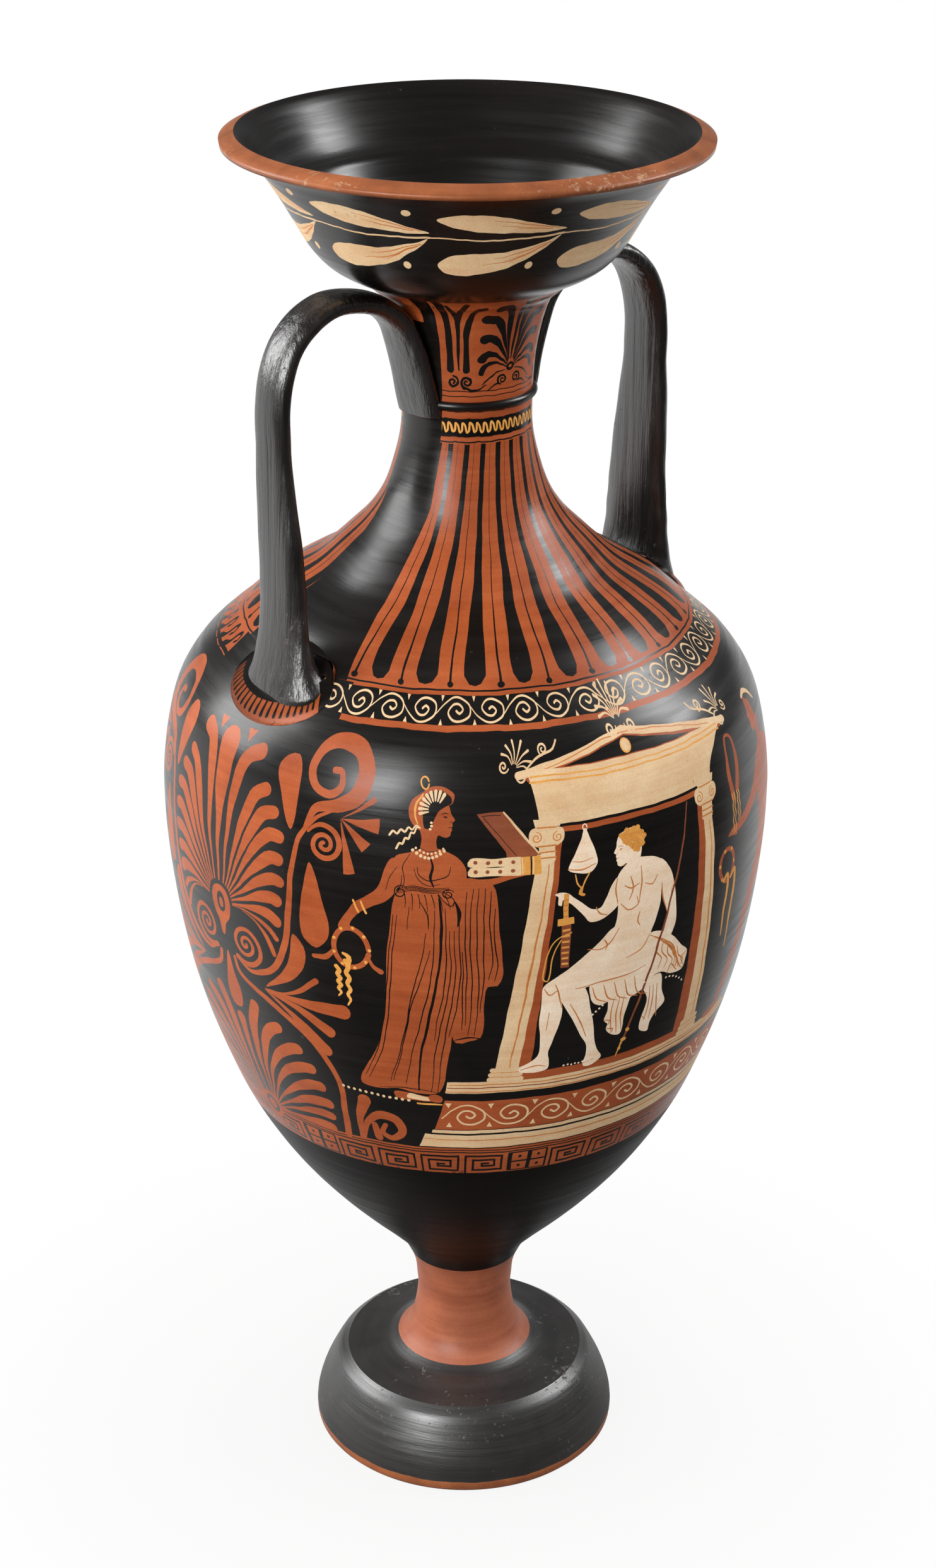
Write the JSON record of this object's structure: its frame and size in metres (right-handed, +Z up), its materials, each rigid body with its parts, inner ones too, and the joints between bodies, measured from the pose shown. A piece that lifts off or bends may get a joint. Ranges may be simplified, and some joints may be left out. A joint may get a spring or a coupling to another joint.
{
  "type": "amphora",
  "caption": "Tall two-handled pottery jar with a disc foot, slender stem, ovoid body, flaring mouth and red-figure painting on black gloss.",
  "frame": {"origin": "on the floor, under the middle of the foot", "axes": "+Z up the jar's axis; the main painted side faces -Y; the handles stand along -X (left) and +X (right)"},
  "size_m": [0.3836, 0.3836, 0.9],
  "materials": {
    "black_gloss_slip": "brushed black gloss slip, fired glossy",
    "reserved_clay": "burnished orange-red clay left unslipped, with black gloss and added colours painted on",
    "bare_clay": "plain unslipped terracotta, matt"
  },
  "bodies": {
    "root": {"foot": "black_gloss_slip", "stem": "bare_clay", "bowl": "black_gloss_slip", "belly": "reserved_clay", "shoulder": "reserved_clay", "neck_collar": "black_gloss_slip", "neck": "reserved_clay", "mouth": "black_gloss_slip", "handle_left": "black_gloss_slip", "handle_right": "black_gloss_slip", "root_fillet_left": "reserved_clay", "root_fillet_right": "reserved_clay"}
  },
  "joints": []
}
